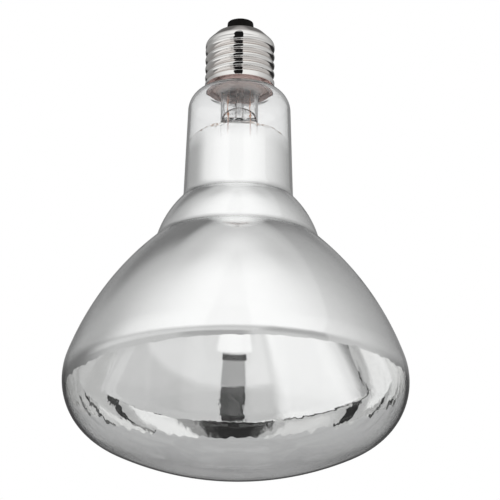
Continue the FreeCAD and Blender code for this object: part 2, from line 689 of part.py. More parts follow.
def spoke(index, radius):
    """Straight bar from inside the button out to the filament."""
    turn = math.radians(support_angle(index))
    outward = FreeCAD.Vector(math.cos(turn), math.sin(turn), 0)
    start_r = BUTTON_RADIUS - SUPPORT_BURIED
    length = FILAMENT_RING_RADIUS - support_loop_radius() - start_r
    return Part.makeCylinder(radius, length, outward * start_r + FreeCAD.Vector(0, 0, FILAMENT_Z), outward)


def filament_support(index):
    """Molybdenum wire from the button, ending in a loop round the filament."""
    turn = math.radians(support_angle(index))
    centre = FreeCAD.Vector(FILAMENT_RING_RADIUS * math.cos(turn), FILAMENT_RING_RADIUS * math.sin(turn), FILAMENT_Z)
    along = FreeCAD.Vector(-math.sin(turn), math.cos(turn), 0)
    loop = Part.makeTorus(support_loop_radius(), SUPPORT_WIRE_RADIUS, centre, along)
    return spoke(index, SUPPORT_WIRE_RADIUS).fuse(loop)


def filament():
    """Coiled tungsten as the outer form of its coil, bent into an open ring."""
    start = FreeCAD.Vector(FILAMENT_RING_RADIUS, 0, FILAMENT_Z)
    coil = Part.Face(Part.Wire(Part.makeCircle(FILAMENT_COIL_RADIUS, start, FreeCAD.Vector(0, 1, 0))))
    ring = coil.revolve(ORIGIN, AXIS, 360 - FILAMENT_GAP_DEG)
    ring.rotate(ORIGIN, AXIS, math.degrees(filament_end(1)))
    return ring


def lamp():
    """Every piece of the lamp by its node's name."""
    pieces = {
        "bulb_envelope": bulb_envelope(),
        "mirror_coating": mirror_coating(),
        "screw_shell": screw_shell(),
        "cap_cement": cap_cement(),
        "insulator": insulator(),
        "contact_plate": contact_plate(),
        "centre_solder": centre_solder(),
        "side_solder": side_solder(),
        "contact_lead": contact_lead(),
        "side_lead": side_lead(),
        "stem_flare": stem_flare(),
        "exhaust_tube": exhaust_tube(),
        "support_rod": support_rod(),
        "filament": filament(),
    }
    for side, word in ((-1, "left"), (1, "right")):
        pieces[f"seal_wire_{word}"] = seal_wire(side)
        pieces[f"inner_lead_{word}"] = inner_lead(side)
    for index in range(SUPPORT_COUNT):
        pieces[f"filament_support_{index + 1}"] = filament_support(index)
    return pieces


def main():
    os.makedirs("parts", exist_ok=True)
    for name, shape in lamp().items():
        solids = shape.Solids
        box = shape.BoundBox
        print(f"{name}: {len(solids)} solid, {shape.Volume:.2f} mm3, valid {shape.isValid()}, "
              f"z {box.ZMin:.2f} to {box.ZMax:.2f}")
        solids[0].exportStep(f"parts/{name}.step")


main()
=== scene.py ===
"""Looks of the heat lamp bulb: blown glass, mirror film, plated cap, wires and a white studio."""
import math

import bpy
from mathutils import Matrix, Vector


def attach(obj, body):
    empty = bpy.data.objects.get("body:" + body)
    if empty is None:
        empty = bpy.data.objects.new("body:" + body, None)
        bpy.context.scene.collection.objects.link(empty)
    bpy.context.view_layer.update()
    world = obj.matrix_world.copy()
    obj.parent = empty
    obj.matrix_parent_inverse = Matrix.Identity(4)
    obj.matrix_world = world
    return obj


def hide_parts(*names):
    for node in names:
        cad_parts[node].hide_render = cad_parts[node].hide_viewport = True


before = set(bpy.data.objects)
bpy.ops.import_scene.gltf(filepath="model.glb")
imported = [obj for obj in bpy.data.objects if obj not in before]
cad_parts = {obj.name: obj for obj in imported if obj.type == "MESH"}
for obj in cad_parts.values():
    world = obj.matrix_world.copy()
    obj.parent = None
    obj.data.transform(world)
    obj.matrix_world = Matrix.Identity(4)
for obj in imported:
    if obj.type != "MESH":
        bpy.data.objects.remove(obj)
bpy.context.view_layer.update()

MM = 0.001
SAME_POINT_MM = 1e-6

# Angles round the axis
FRONT_DEG = -90.0
BACK_DEG = 90.0

# Bulb outline, the same arcs as the glass in the frame, in millimetres
RIM_Z = -27.9
SEAL_END_Z = -21.9
NECK_FOOT_Z = -73.2
BULGE_FOOT_Z = -90.6
WIDEST_Z = -144.3
BULB_RADIUS = 62.5
SEAL_RADIUS = 11.4
SEAL_FILLET_RADIUS = 1.62
SHOULDER_RADIUS = 8.27
NECK_RADIUS = 19.22
NECK_TAPER_DEG = 1.8
NECK_FILLET_RADIUS = 6.0
BULGE_RADIUS = 36.8
BULGE_FOOT_RADIUS = 30.33
REFLECTOR_FILLET_RADIUS = 6.5
REFLECTOR_ARC_RADIUS = 111.1
RIM_ARC_RADIUS = 23.2
FACE_ARC_RADIUS = 110.5
GLASS_WALL = 1.0
CEMENT_BEAD = 1.3

# Cap's screw shell, in millimetres
CREST_RADIUS = 13.1
SHELL_SHEET = 0.3
SHELL_TOP_Z = -5.7
SHELL_OPENING_RADIUS = 5.35
SHELL_FLAT_RADIUS = 8.6
SHOULDER_CORNER_RADIUS = 3.0
SHOULDER_TOP_RADIUS = 1.2
SHOULDER_SLOPE_DEG = 44.0
THREAD_PITCH = 3.629
THREAD_DEPTH = 1.1
THREAD_CREST_OFFSET = 5.8
THREAD_START_HEIGHT = 1.2
THREAD_FADE = 1.8
SHELL_LIP_FLARE = 0.22
SHELL_LIP_HEIGHT = 1.3
SIDE_CONTACT_RADIUS = 10.4
SIDE_HOLE_RADIUS = 0.6
SIDE_HOLE_SIDES = 32
SIDE_HOLE_DEPTH_IN_RADII = 8
ROOT_RADIUS = CREST_RADIUS - THREAD_DEPTH

# Mirror film, in millimetres: its upper edge fades out behind a whitish line of painted highlight,
# and both edges wander by waves of a count, a size and a phase
FILM_INSET = 1.06
FILM_TOP_Z = -52.9
FILM_TOP_TILT_DEG = 10.0
FILM_FADE = 6.0
FILM_LINE = 0.8
FILM_LINE_RAGGED = 0.9
FILM_UNEVEN_TOP_Z = -122.0
FILM_FACE_Z = -146.9
FILM_FACE_TILT_DEG = 1.6
FILM_TOP_WAVES = ((5, 0.22, 0.4), (9, 0.16, 2.1), (16, 0.1, 4.0), (29, 0.06, 1.0))
FILM_FACE_WAVES = ((7, 0.06, 1.3), (13, 0.08, 0.2), (24, 0.11, 3.1),
                   (41, 0.13, 5.0), (67, 0.13, 2.0), (103, 0.1, 0.7))

# The lower edge's waves grow from front to back, and are calmer straight behind
FILM_RAGGED_FRONT = 0.5
FILM_RAGGED_BACK = 4.5
FILM_CALM = 0.65
FILM_CALM_DEG = 22.0

# Filament coil, in millimetres
FILAMENT_Z = -93.7
FILAMENT_RING_RADIUS = 12.5
FILAMENT_GAP_DEG = 70.0
COIL_RADIUS = 0.63
COIL_WIRE_RADIUS = 0.11
COIL_TURNS = 190
COIL_STEPS = 12
WIRE_SIDES = 6

# Mesh density
AROUND = 256
FILM_AROUND = 720
ARC_STEP_DEG = 3.0
ARC_STEP_MM = 2.0
FILM_ROWS = 130
SHELL_AROUND = 320
THREAD_ROWS = 30
THREAD_ROWS_INSIDE = 12
SHOULDER_STEPS = 8
SHARP_DEG = 35.0

# Glass: light that passes through it takes on the body's colour, by density
GLASS_IOR = 1.5
GLASS_DENSITY = 25.0
GLASS_BODY_COLOUR = (0.3, 0.34, 0.35)
GLASS_TINTS = ((0.985, 0.988, 0.988), (0.995, 0.996, 0.996))

# Stem: the stain begins below the shell's rim and is full above it, in millimetres
STEM_COLOUR = (0.99, 0.99, 0.99)
STAIN_TINTS = ((0.6, 0.42, 0.36), (0.95, 0.8, 0.76))
STAIN_BELOW_RIM = 4.5
STAIN_ABOVE_RIM = 0.5
STAIN_TRANSMISSION = 0.15
STAIN_ROUGHNESS = 0.35

# Mirror film and the whitish line along its upper edge, a painted highlight
FILM_TINTS = ((0.93, 0.93, 0.925), (0.96, 0.96, 0.955))
# Whitish and brownish flecks of the film's edge line: painted highlight and painted glints
FILM_HIGHLIGHT_LINE_TINTS = ((0.98, 0.97, 0.96), (0.62, 0.53, 0.47))
FILM_EDGE_COVER = 0.3
FILM_ROUGHNESS = 0.02
FILM_LINE_ROUGHNESS = 0.2

# Cap
PLATING_TINTS = ((0.86, 0.85, 0.83), (0.92, 0.91, 0.89))
# Darker, browner colour down in the thread's roots: painted shade
PLATING_ROOT_SHADE_COLOUR = (0.78, 0.74, 0.71)
PLATING_ROOT_ROUGHNESS = 0.05
PLATING_CREST_ROUGHNESS = 0.01
LACQUER_TINTS = ((0.3, 0.16, 0.12), (0.48, 0.3, 0.24))
CEMENT_TINTS = ((0.46, 0.33, 0.3), (0.7, 0.57, 0.55))
CEMENT_BURNT_COLOUR = (0.12, 0.07, 0.06)
BLACK_GLASS_TINTS = ((0.002, 0.002, 0.002), (0.008, 0.007, 0.006))
BLACK_GLASS_SPECULAR = 0.05

# Wires, solder and brass: darker and lighter colour, and roughness, which varies by a share
WIRE_ROUGHNESS_SPREAD = 0.3
WIRES = {
    "tungsten_coil": ((0.2, 0.2, 0.21), (0.36, 0.36, 0.37), 0.4),
    "copper_wire": ((0.62, 0.3, 0.18), (0.85, 0.52, 0.36), 0.3),
    "copper_clad_wire": ((0.4, 0.1, 0.05), (0.6, 0.2, 0.12), 0.35),
    "nickel_wire": ((0.5, 0.48, 0.45), (0.68, 0.66, 0.63), 0.3),
    "molybdenum_wire": ((0.38, 0.37, 0.37), (0.52, 0.51, 0.5), 0.35),
    "soft_solder": ((0.5, 0.5, 0.51), (0.72, 0.72, 0.73), 0.35),
    "pressed_brass": ((0.68, 0.5, 0.22), (0.82, 0.66, 0.36), 0.3),
}

# Materials of the frame's nodes that stay
NODE_FINISHES = {
    "cap_cement": "basing_cement",
    "insulator": "black_insulator_glass",
    "contact_plate": "pressed_brass",
    "centre_solder": "soft_solder",
    "side_solder": "soft_solder",
    "contact_lead": "copper_wire",
    "side_lead": "copper_wire",
    "stem_flare": "worked_stem_glass",
    "exhaust_tube": "worked_stem_glass",
    "support_rod": "worked_stem_glass",
    "seal_wire_left": "copper_clad_wire",
    "seal_wire_right": "copper_clad_wire",
    "inner_lead_left": "nickel_wire",
    "inner_lead_right": "nickel_wire",
    "filament_support_1": "molybdenum_wire",
    "filament_support_2": "molybdenum_wire",
    "filament_support_3": "molybdenum_wire",
    "filament_support_4": "molybdenum_wire",
}

# Camera, in the photograph's frame of 500 x 500 pixels
FRAME_PX = 500
FOCAL_PX = 2439.4
SENSOR_MM = 36.0
CAMERA_DISTANCE_MM = 896.4
CAMERA_BELOW_DEG = 21.0
CAMERA_AIM_Z_MM = -92.94
CAMERA_AIM_RIGHT_MM = 4.6
CAMERA_ROLL_DEG = 0.66
CAMERA_CLIP_START = 0.01

# Floor, in metres
FLOOR_Z = -1.25
FLOOR_SIZE = 12.0
FLOOR_TINTS = ((0.86, 0.86, 0.855), (0.9, 0.9, 0.895))
FLOOR_ROUGHNESS = 0.9

# Studio, in degrees: 0 is towards the viewer, + is to the viewer's right, and 180 is behind. A
# fade has two places and the level at each
BASE_LEVEL = 0.6
LEFT_FADE = (-172, -28, 0.3, 1.12)
RIGHT_FADE = (18, 188, 1.12, 0.31)
HORIZON = 22
HORIZON_SOFT = 8
BOX_EDGE_AXIS = (0.6131, 0.6579, -0.4373)
BOX_EDGE = 0.01
BOX_EDGE_SOFT = 0.03
BEYOND_BOX_SHARE = 0.92
OUTSIDE_SHARE = 0.85
SEEN_THROUGH_FADE = (16, 25, 0.56, 0.93)
WALL_FADE = (12, 36, 0.03, 0.4)
FLOOR_LIGHT = 1.4
BACKDROP_LEVEL = 1.0

# Cards: level, left, right, low and high edge, and how soft each of these edges is
MIRRORED_CARDS = (
    (0.46, -138, -96, 18, 42, (20, 40, 8, 30)),            # grey end of the left box
    (0.64, 100, 260, 66, 90, (60, 60, 12, None)),          # rear half of the ceiling
    (0.92, -180, 180, 80, 90, (None, None, 18, None)),     # middle of the ceiling
    (0.18, 157, 222, 38, 63, (20, 26, 14, 5)),             # dark panel high behind
    (0.2, -178, -105, 0, 21, (6, 50, 20, 9)),              # low grey panel, left behind
    (0.28, 118, 182, 0, 21, (50, 6, 20, 9)),               # low grey panel, right behind
    (0.74, -100, 16, 13, 19, (40, 12, 3, 4)),              # lower edge of the upper box, left
    (0.46, 20, 62, 12, 22, (14, 4, 3, 7)),                 # lower edge of the upper box, right
    (0.46, -36, 6, 7, 13, (10, 10, 4, 3)),                 # grey strip under it, in front
    (1.12, -95, -32, -60, -3, (24, 14, 10, 6)),            # lower left box
    (0.36, -132, -99, -60, 0, (10, 8, 8, 8)),              # grey end of the lower left box
    (0.9, -30, -8, -52, -30, (10, 4, 4, 4)),               # left of the camera, low
    (0.64, -29, -8, -30, -3, (12, 4, 4, 4)),               # left of the camera
    (0.68, 9, 122, -30, 14, (4, 14, 4, 8)),                # right box
    (0.86, 9, 105, -60, -30, (4, 10, 8, 4)),               # lower right box
    (0.03, 128, 232, -80, 6, (16, 16, 8, 24)),             # dark ground behind
    (0.5, 171, 189, -14, 15, (8, 8, 10, 8)),               # pale strip straight behind
    (0.03, -7, 11.5, -31, 7, (1.5, 1.5, 1.5, 4)),          # dark gap for the camera
    (0.38, -8, 12, -42, -31, (2, 2, 1, 1.5)),              # grey under the camera
    (0.06, -10, 13, -44, -41.5, (1.5, 1.5, 1, 1)),         # dark edge under the grey
    (1.15, -16, 19, -90, -44.5, (3, 6, None, 1.5)),        # white below
)

# Laid over the mirrored cards for the outermost surfaces: glass outside, cap and insulator
OUTSIDE_CARDS = (
    (0.3, -146, -118, -60, 21, (6, 10, 10, 10)),           # left end, for the cap's left edge
    (0.1, 140, 220, 4, 17, (16, 16, 5, 5)),                # behind, for the outline of the face
    (0.5, -21, 10, 50, 90, (3, 2, 4, None)),               # in front, over the dark gap
    (0.45, -21, 10, -90, -40, (3, 2, None, 4)),            # in front, under the dark gap
    (0.01, -21, 10, -40, 58, (3, 2, 4, 4)),                # dark gap for the cap's front
)

# Edges of the dark flags that are seen through the glass of the neck
SEEN_THROUGH_CARDS = (
    (0.1, 183.7, 188, 16.7, 21, (0.7, 2, 0.5, 2)),
    (0.1, 172, 176.6, 16.7, 21, (2, 0.9, 0.5, 2)),
)


def centres_meet(centre_a, reach_a, centre_b, reach_b, side):
    """Point at a distance from each of two centres, on one side of the line between them."""
    dr = centre_b[0] - centre_a[0]
    dz = centre_b[1] - centre_a[1]
    apart = math.hypot(dr, dz)
    along = (reach_a ** 2 - reach_b ** 2 + apart ** 2) / (2 * apart)
    across = side * math.sqrt(reach_a ** 2 - along ** 2)
    return (centre_a[0] + (along * dr - across * dz) / apart,
            centre_a[1] + (along * dz + across * dr) / apart)


def bearing(centre_a, centre_b):
    """Angle of the line from one centre to another, above the horizontal."""
    return math.atan2(centre_b[1] - centre_a[1], centre_b[0] - centre_a[0])


def bulb_arcs():
    """Outside arcs from seal to face: centre, radius, bulges out or in, and the outward normal's
    angle where each arc starts and ends."""
    taper = math.radians(NECK_TAPER_DEG)
    normal = (math.cos(taper), math.sin(taper))
    seal = (SEAL_RADIUS + SEAL_FILLET_RADIUS, RIM_Z)
    shoulder_r = NECK_RADIUS - SHOULDER_RADIUS * normal[0]
    reach = SHOULDER_RADIUS + SEAL_FILLET_RADIUS
    shoulder = (shoulder_r, RIM_Z - math.sqrt(reach ** 2 - (seal[0] - shoulder_r) ** 2))
    neck_top = (NECK_RADIUS, shoulder[1] + SHOULDER_RADIUS * normal[1])
    neck_foot = (NECK_RADIUS + (neck_top[1] - NECK_FOOT_Z) * math.tan(taper), NECK_FOOT_Z)
    bulge_foot = (BULGE_FOOT_RADIUS, BULGE_FOOT_Z)
    bulge = centres_meet(neck_foot, BULGE_RADIUS, bulge_foot, BULGE_RADIUS, -1)
    rim = (BULB_RADIUS - RIM_ARC_RADIUS, WIDEST_Z)
    reflector = centres_meet(bulge_foot, REFLECTOR_ARC_RADIUS,
                             rim, REFLECTOR_ARC_RADIUS - RIM_ARC_RADIUS, -1)
    face = (0.0, WIDEST_Z + math.sqrt((FACE_ARC_RADIUS - RIM_ARC_RADIUS) ** 2 - rim[0] ** 2))
    waist = centres_meet(bulge, BULGE_RADIUS + REFLECTOR_FILLET_RADIUS,
                         reflector, REFLECTOR_ARC_RADIUS + REFLECTOR_FILLET_RADIUS, 1)
    off_r = bulge[0] - neck_top[0]
    off_z = bulge[1] - neck_top[1]
    off_neck = off_r * normal[0] + off_z * normal[1]
    down_neck = off_r * normal[1] - off_z * normal[0]
    drop = down_neck - math.sqrt((BULGE_RADIUS + NECK_FILLET_RADIUS) ** 2
                                 - (NECK_FILLET_RADIUS - off_neck) ** 2)
    neck_fillet = (neck_top[0] + NECK_FILLET_RADIUS * normal[0] + drop * normal[1],
                   neck_top[1] + NECK_FILLET_RADIUS * normal[1] - drop * normal[0])
    at_seal = bearing(shoulder, seal)
    at_bulge_top = bearing(bulge, neck_fillet)
    at_bulge_foot = bearing(bulge, waist)
    at_reflector_top = bearing(reflector, waist)
    at_rim = bearing(reflector, rim)
    at_face = bearing(face, rim)
    return [
        (seal, SEAL_FILLET_RADIUS, -1, 0.0, at_seal),
        (shoulder, SHOULDER_RADIUS, 1, at_seal, taper),
        (neck_fillet, NECK_FILLET_RADIUS, -1, taper, at_bulge_top),
        (bulge, BULGE_RADIUS, 1, at_bulge_top, at_bulge_foot),
        (waist, REFLECTOR_FILLET_RADIUS, -1, at_bulge_foot, at_reflector_top),
        (reflector, REFLECTOR_ARC_RADIUS, 1, at_reflector_top, at_rim),
        (rim, RIM_ARC_RADIUS, 1, at_rim, at_face),
        (face, FACE_ARC_RADIUS, 1, at_face, -math.pi / 2),
    ]


def stretch(start, end, step):
    """Points after start, up to end, no further apart than step."""
    count = max(1, math.ceil(math.dist(start, end) / step))
    return [(start[0] + (end[0] - start[0]) * i / count,
             start[1] + (end[1] - start[1]) * i / count) for i in range(1, count + 1)]


def bulb_outline(inset):
    """(radius, z) points of the bulb's outline at an inset, from the sealed end to the axis."""
    points = [(SEAL_RADIUS - inset, SEAL_END_Z)]
    for centre, radius, bulge, start, end in bulb_arcs():
        reach = bulge * radius - inset
        turn = abs(end - start)
        count = max(math.ceil(math.degrees(turn) / ARC_STEP_DEG),
                    math.ceil(abs(reach) * turn / ARC_STEP_MM))
        arc = []
        for i in range(count + 1):
            angle = start + (end - start) * i / count
            arc.append((centre[0] + reach * math.cos(angle), centre[1] + reach * math.sin(angle)))
        if math.dist(points[-1], arc[0]) > SAME_POINT_MM:
            points += stretch(points[-1], arc[0], ARC_STEP_MM)[:-1] + [arc[0]]
        points += arc[1:]
    points[-1] = (0.0, points[-1][1])
    return points


def polar(radius, angle, z):
    """Point at a radius and an angle round the axis, and at a height."""
    return radius * math.cos(angle), radius * math.sin(angle), z


def ring_faces(columns, outward):
    """Faces between neighbouring columns of points, all the way round the axis."""
    faces = []
    for here, there in zip(columns, columns[1:] + columns[:1]):
        for k in range(len(here) - 1):
            if outward:
                faces.append((here[k], there[k], there[k + 1], here[k + 1]))
            else:
                faces.append((here[k], here[k + 1], there[k + 1], there[k]))
    return faces


def new_piece(name, points, faces, node):
    """Smooth-shaded piece from points in millimetres, in place of a node of the frame."""
    mesh = bpy.data.meshes.new(name)
    mesh.from_pydata([(x * MM, y * MM, z * MM) for x, y, z in points], [], faces)
    mesh.validate()
    mesh.shade_smooth()
    mesh.set_sharp_from_angle(angle=math.radians(SHARP_DEG))
    piece = bpy.data.objects.new(name, mesh)
    bpy.context.scene.collection.objects.link(piece)
    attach(piece, "root")
    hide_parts(node)
    return piece


def glass_bulb():
    """Blown glass wall, closed: down the outside to the face's pole, and back up the inside."""
    outer = bulb_outline(0.0)
    inner = bulb_outline(GLASS_WALL)
    points = []
    rings = []
    for radius, z in outer + inner[::-1] + outer[:1]:
        first = len(points)
        if radius < SAME_POINT_MM:
            points.append((0.0, 0.0, z))
            rings.append([first] * AROUND)
            continue
        points += [polar(radius, 2 * math.pi * i / AROUND, z) for i in range(AROUND)]
        rings.append(list(range(first, first + AROUND)))
    faces = []
    for upper, lower in zip(rings, rings[1:]):
        for i in range(AROUND):
            j = (i + 1) % AROUND
            corners = [upper[i], lower[i], lower[j], upper[j]]
            face = [corner for k, corner in enumerate(corners) if corner != corners[k - 1]]
            if len(face) > 2:
                faces.append(face)
    piece = new_piece("glass_bulb", points, faces, "bulb_envelope")
    for polygon in piece.data.polygons[:(len(outer) - 1) * AROUND]:
        if polygon.center.z > (RIM_Z - CEMENT_BEAD) * MM:
            polygon.material_index = 1
    return piece


def shoulder_centres():
    """Centres of the two rounds of the shell's shoulder."""
    slope = math.radians(SHOULDER_SLOPE_DEG)
    top = (SHELL_FLAT_RADIUS, SHELL_TOP_Z - SHOULDER_TOP_RADIUS)
    corner_r = CREST_RADIUS - SHOULDER_CORNER_RADIUS
    between = SHOULDER_CORNER_RADIUS - SHOULDER_TOP_RADIUS
    across = corner_r - top[0] + between * math.cos(slope)
    rise = between * math.sin(slope)
    return (corner_r, top[1] - across / math.tan(slope) - rise), top


def smooth_step(value):
    """Rise from 0 to 1 with level ends."""
    value = min(max(value, 0.0), 1.0)
    return value * value * (3 - 2 * value)


def groove(height, angle, straight):
    """Depth of the thread's groove: alternating arcs whose crests climb one pitch each turn."""
    quarter = THREAD_PITCH / 4
    arc = (quarter ** 2 + (THREAD_DEPTH / 2) ** 2) / THREAD_DEPTH
    turns = (height - THREAD_CREST_OFFSET) / THREAD_PITCH - angle / (2 * math.pi)
    from_crest = abs(turns - round(turns)) * THREAD_PITCH
    from_arc = from_crest if from_crest < quarter else 2 * quarter - from_crest
    sag = arc - math.sqrt(arc ** 2 - from_arc ** 2)
    depth = sag if from_crest < quarter else THREAD_DEPTH - sag
    starts = smooth_step((height - THREAD_START_HEIGHT) / THREAD_FADE)
    ends = smooth_step((straight - height) / THREAD_FADE)
    return depth * starts * ends


def shell_section(angle, inset, rows_per_pitch):
    """The shell's section at one angle, from rim to opening, as (radius, z) points at an inset."""
    slope = math.radians(SHOULDER_SLOPE_DEG)
    corner, top = shoulder_centres()
    straight = corner[1] - RIM_Z
    rows = math.ceil(straight / THREAD_PITCH * rows_per_pitch)
    points = []
    for row in range(rows + 1):
        height = straight * row / rows
        lip = max(0.0, 1 - height / SHELL_LIP_HEIGHT)
        flare = SHELL_LIP_FLARE * lip ** 2
        points.append((CREST_RADIUS + flare - groove(height, angle, straight), RIM_Z + height))
    for centre, radius, begin, end in ((corner, SHOULDER_CORNER_RADIUS, 0.0, slope),
                                       (top, SHOULDER_TOP_RADIUS, slope, math.pi / 2)):
        for step in range(SHOULDER_STEPS + 1):
            turn = begin + (end - begin) * step / SHOULDER_STEPS
            place = (centre[0] + radius * math.cos(turn), centre[1] + radius * math.sin(turn))
            if math.dist(points[-1], place) > SAME_POINT_MM:
                points.append(place)
    points.append((SHELL_OPENING_RADIUS, SHELL_TOP_Z))
    moved = [(points[0][0] - inset, points[0][1])]
    for before, (radius, z), after in zip(points, points[1:], points[2:]):
        dr = after[0] - before[0]
        dz = after[1] - before[1]
        size = math.hypot(dr, dz)
        moved.append((radius - inset * dz / size, z + inset * dr / size))
    moved.append((points[-1][0], points[-1][1] - inset))
    return moved


def screw_shell():
    """Rolled sheet shell with its thread: outside, the two thin edges, and inside."""
    points = []
    sides = []
    for inset, rows_per_pitch in ((0.0, THREAD_ROWS), (SHELL_SHEET, THREAD_ROWS_INSIDE)):
        columns = []
        for i in range(SHELL_AROUND):
            angle = 2 * math.pi * i / SHELL_AROUND
            section = shell_section(angle, inset, rows_per_pitch)
            columns.append(range(len(points), len(points) + len(section)))
            points += [polar(radius, angle, z) for radius, z in section]
        sides.append(columns)
    outer, inner = sides
    faces = ring_faces(outer, True)
    for i in range(SHELL_AROUND):
        j = (i + 1) % SHELL_AROUND
        faces += [(outer[i][0], inner[i][0], inner[j][0], outer[j][0]),
                  (outer[i][-1], outer[j][-1], inner[j][-1], inner[i][-1])]
    outside = len(faces)
    faces += ring_faces(inner, False)
    piece = new_piece("threaded_shell", points, faces, "screw_shell")
    for polygon in piece.data.polygons[outside:]:
        polygon.material_index = 1
    punch(piece, SIDE_HOLE_RADIUS, (0.0, SIDE_CONTACT_RADIUS, SHELL_TOP_Z))
    return piece


def punch(piece, radius, centre):
    """Drills an upright hole through a piece."""
    bpy.ops.mesh.primitive_cylinder_add(vertices=SIDE_HOLE_SIDES, radius=radius * MM,
                                        depth=SIDE_HOLE_DEPTH_IN_RADII * radius * MM,
                                        location=[value * MM for value in centre])
    drill = bpy.context.object
    cut = piece.modifiers.new("hole", "BOOLEAN")
    cut.operation = "DIFFERENCE"
    cut.object = drill
    cut.solver = "EXACT"
    bpy.context.view_layer.objects.active = piece
    with bpy.context.temp_override(object=piece, active_object=piece, selected_objects=[piece]):
        bpy.ops.object.modifier_apply(modifier=cut.name)
    bpy.data.objects.remove(drill)


def wander(angle, waves):
    """Sum of smooth waves round the axis."""
    return sum(size * math.sin(count * angle + phase) for count, size, phase in waves)


def mirror_film():
    """The coating as one sheet just inside the glass, between its two wandering edges."""
    outline = bulb_outline(FILM_INSET)
    lengths = [0.0]
    for before, after in zip(outline, outline[1:]):
        lengths.append(lengths[-1] + math.dist(before, after))

    def length_at(z):
        """Length along the outline down to a height."""
        for (_, high), (_, low), start, end in zip(outline, outline[1:], lengths, lengths[1:]):
            if low <= z <= high:
                return start + (end - start) * (high - z) / max(high - low, SAME_POINT_MM)
        return lengths[-1]

    def point_at(length, index):
        """Radius and height at a length, and the outline's stretch that they lie on."""
        while lengths[index + 1] < length and index < len(lengths) - 2:
            index += 1
        share = (length - lengths[index]) / (lengths[index + 1] - lengths[index])
        (r0, z0), (r1, z1) = outline[index], outline[index + 1]
        return r0 + (r1 - r0) * share, z0 + (z1 - z0) * share, index

    top_tilt = math.tan(math.radians(FILM_TOP_TILT_DEG))
    face_tilt = math.tan(math.radians(FILM_FACE_TILT_DEG))
    points = []
    columns = []
    for i in range(FILM_AROUND):
        angle = 2 * math.pi * i / FILM_AROUND
        top = FILM_TOP_Z - NECK_RADIUS * math.sin(angle) * top_tilt
        low = FILM_FACE_Z + BULB_RADIUS * math.cos(angle) * face_tilt
        to_back = (1 + math.sin(angle)) / 2
        ragged = FILM_RAGGED_FRONT + (FILM_RAGGED_BACK - FILM_RAGGED_FRONT) * to_back
        off_back = (math.degrees(angle) - BACK_DEG) / FILM_CALM_DEG
        calm = FILM_CALM * math.exp(-off_back ** 2)
        start = length_at(top + wander(angle, FILM_TOP_WAVES))
        end = length_at(low + ragged * (1 - calm) * wander(angle, FILM_FACE_WAVES))
        columns.append(range(len(points), len(points) + FILM_ROWS + 1))
        index = 0
        for row in range(FILM_ROWS + 1):
            radius, z, index = point_at(start + (end - start) * row / FILM_ROWS, index)
            points.append(polar(radius, angle, z))
    return new_piece("mirror_film", points, ring_faces(columns, False),
                     "mirror_coating")


def filament_coil():
    """Fine tungsten helix bent into an open ring."""
    sweep = math.radians(360 - FILAMENT_GAP_DEG)
    begin = math.radians(FRONT_DEG + FILAMENT_GAP_DEG / 2)
    total = COIL_TURNS * COIL_STEPS
    spine = []
    path = []
    for i in range(total + 1):
        along = begin + sweep * i / total
        turn = 2 * math.pi * i / COIL_STEPS
        spine.append(Vector(polar(FILAMENT_RING_RADIUS, along, FILAMENT_Z)))
        path.append(Vector(polar(FILAMENT_RING_RADIUS + COIL_RADIUS * math.cos(turn), along,
                                 FILAMENT_Z + COIL_RADIUS * math.sin(turn))))
    points = []
    for i, here in enumerate(path):
        heading = (path[min(i + 1, total)] - path[max(i - 1, 0)]).normalized()
        side = (here - spine[i]).normalized()
        other = heading.cross(side).normalized()
        for k in range(WIRE_SIDES):
            turn = 2 * math.pi * k / WIRE_SIDES
            points.append(here + (side * math.cos(turn) + other * math.sin(turn))
                          * COIL_WIRE_RADIUS)
    faces = []
    for first in range(0, total * WIRE_SIDES, WIRE_SIDES):
        for k in range(WIRE_SIDES):
            n = (k + 1) % WIRE_SIDES
            faces.append((first + k, first + n, first + WIRE_SIDES + n, first + WIRE_SIDES + k))
    faces.append(tuple(range(WIRE_SIDES))[::-1])
    faces.append(tuple(total * WIRE_SIDES + k for k in range(WIRE_SIDES)))
    return new_piece("filament_coil", points, faces, "filament")


class Nodes:
    """Steps of arithmetic in one node tree; a value is a number or another node's socket."""

    def __init__(self, tree):
        self.nodes = tree.nodes
        self.links = tree.links

    def add(self, kind, **values):
        """New node with its properties or inputs set by name."""
        node = self.nodes.new(kind)
        for key, value in values.items():
            if hasattr(node, key):
                setattr(node, key, value)
            else:
                node.inputs[key.replace("_", " ")].default_value = value
        return node

    def feed(self, value, socket):
        """Sets a socket to a number, or links it."""
        if isinstance(value, (int, float)):
            socket.default_value = value
        else:
            self.links.new(value, socket)

    def math(self, operation, a, b=None):
        """One step of arithmetic."""
        node = self.add("ShaderNodeMath", operation=operation)
        self.feed(a, node.inputs[0])
        if b is not None:
            self.feed(b, node.inputs[1])
        return node.outputs[0]

    def span(self, value, low, high, low_out, high_out, kind="LINEAR"):
        """Value mapped from one range to another."""
        node = self.add("ShaderNodeMapRange", interpolation_type=kind)
        for socket, number in (("From Min", low), ("From Max", high),
                               ("To Min", low_out), ("To Max", high_out)):
            node.inputs[socket].default_value = number
        self.links.new(value, node.inputs["Value"])
        return node.outputs["Result"]

    def ramp(self, value, low, high, low_out=0.0, high_out=1.0):
        """Value mapped from one range to another, with smooth ends."""
        return self.span(value, low, high, low_out, high_out, "SMOOTHSTEP")


